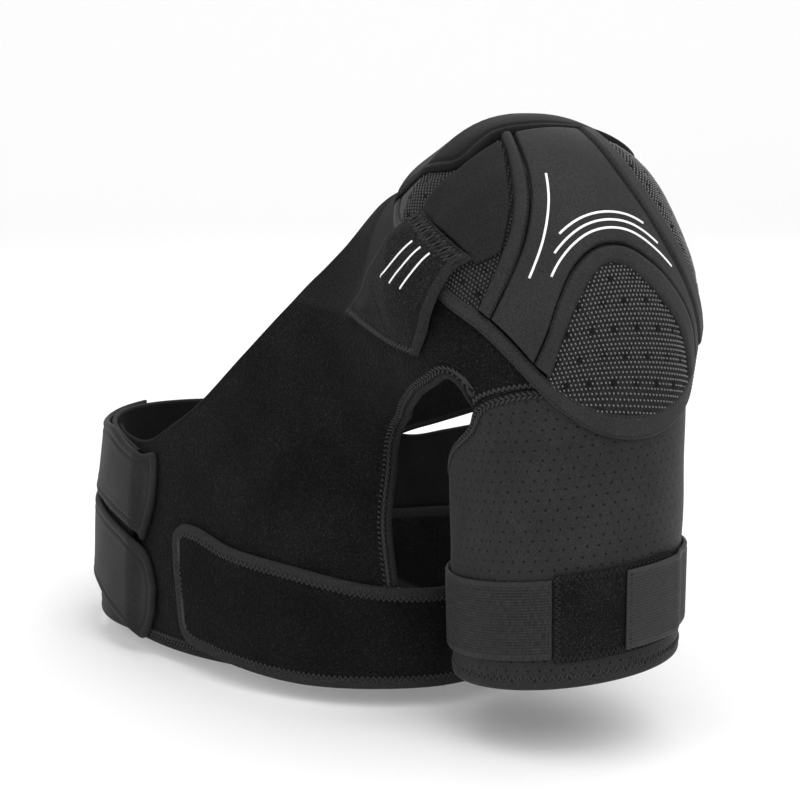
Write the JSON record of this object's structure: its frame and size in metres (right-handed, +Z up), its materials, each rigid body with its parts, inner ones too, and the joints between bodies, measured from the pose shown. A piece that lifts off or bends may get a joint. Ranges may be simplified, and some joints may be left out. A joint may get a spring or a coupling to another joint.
{
  "type": "shoulder brace",
  "caption": "Padded shoulder brace: half vest with a chest belt and hook tabs, an underarm strap, a ribbed shoulder cap with mesh pads, and an upper-arm sleeve with an elastic band.",
  "frame": {"origin": "top of the wearer's shoulder, where the padded cap of the brace rests on it", "axes": "The wearer stands upright and faces -Y. The braced left shoulder is on the +X side of the chest, and +Z is up."},
  "size_m": [0.4818, 0.2341, 0.3555],
  "materials": {
    "plush": "brushed loop fabric, matt",
    "neoprene": "smooth knit over foam, matt",
    "elastic": "ribbed woven elastic, matt",
    "mesh": "open mesh over foam, matt"
  },
  "bodies": {
    "root": {"front_panel": "plush", "back_panel": "plush", "underarm_strap": "plush", "loop_patch": "plush", "front_strap": "plush", "belt": "neoprene", "tab_upper": "neoprene", "tab_lower": "neoprene", "sleeve": "neoprene", "cap_rim": "neoprene", "cap_collar": "neoprene", "cap_tongue": "neoprene", "front_piping": "neoprene", "rear_piping": "neoprene", "side_welt": "neoprene", "front_yoke": "neoprene", "biceps_band": "elastic", "mesh_pad_front": "mesh", "mesh_pad_rear": "mesh", "mesh_pad_side": "mesh"}
  },
  "joints": []
}
